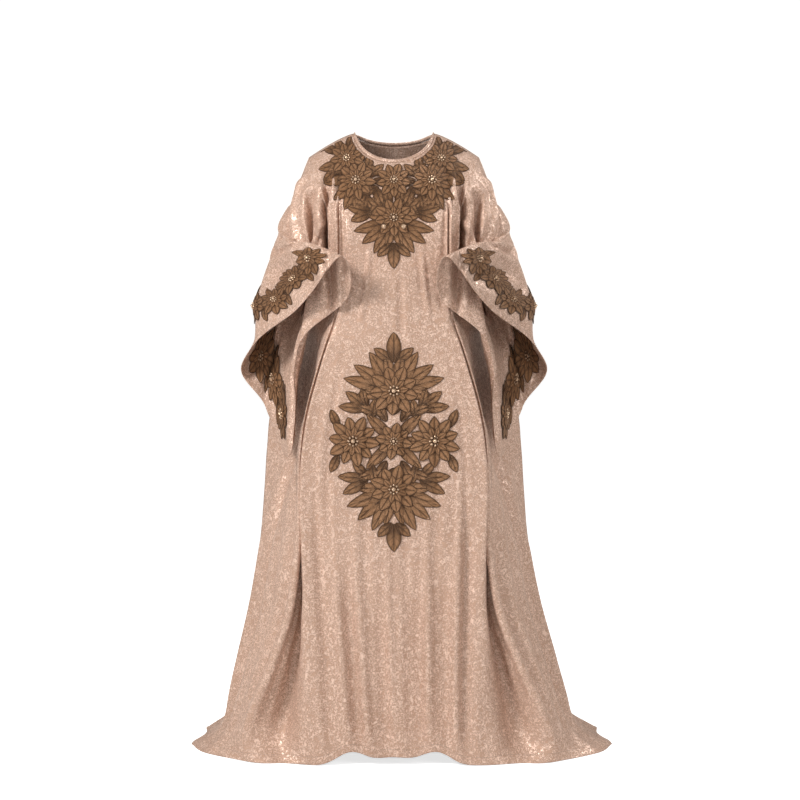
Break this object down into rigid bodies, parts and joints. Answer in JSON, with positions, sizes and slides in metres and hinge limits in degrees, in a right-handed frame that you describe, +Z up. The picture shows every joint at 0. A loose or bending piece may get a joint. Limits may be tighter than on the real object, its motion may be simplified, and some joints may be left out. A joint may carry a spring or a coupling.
{
  "type": "embroidered kaftan",
  "caption": "Long wide-sleeved kaftan held in its worn, hollow shape, with floral lace applique at the neck, skirt and sleeve hems.",
  "frame": {"origin": "between the shoulders at the height of the neck, where the wearer's shoulders hold the garment", "axes": "+Z up, -Y the front of the garment, +X to the viewer's right"},
  "size_m": [0.988, 0.5891, 1.4325],
  "materials": {
    "jacquard": "champagne satin jacquard with a fine squiggle sheen",
    "lace": "bronze-brown corded lace with beads and sequins"
  },
  "bodies": {
    "root": {"front_panel": "jacquard", "back_panel": "jacquard", "sleeve_left": "jacquard", "sleeve_right": "jacquard", "neck_band": "jacquard", "yoke_lace": "lace", "skirt_lace": "lace", "cuff_lace_left": "lace", "cuff_lace_right": "lace", "inner_lace_left": "lace", "inner_lace_right": "lace"}
  },
  "joints": []
}
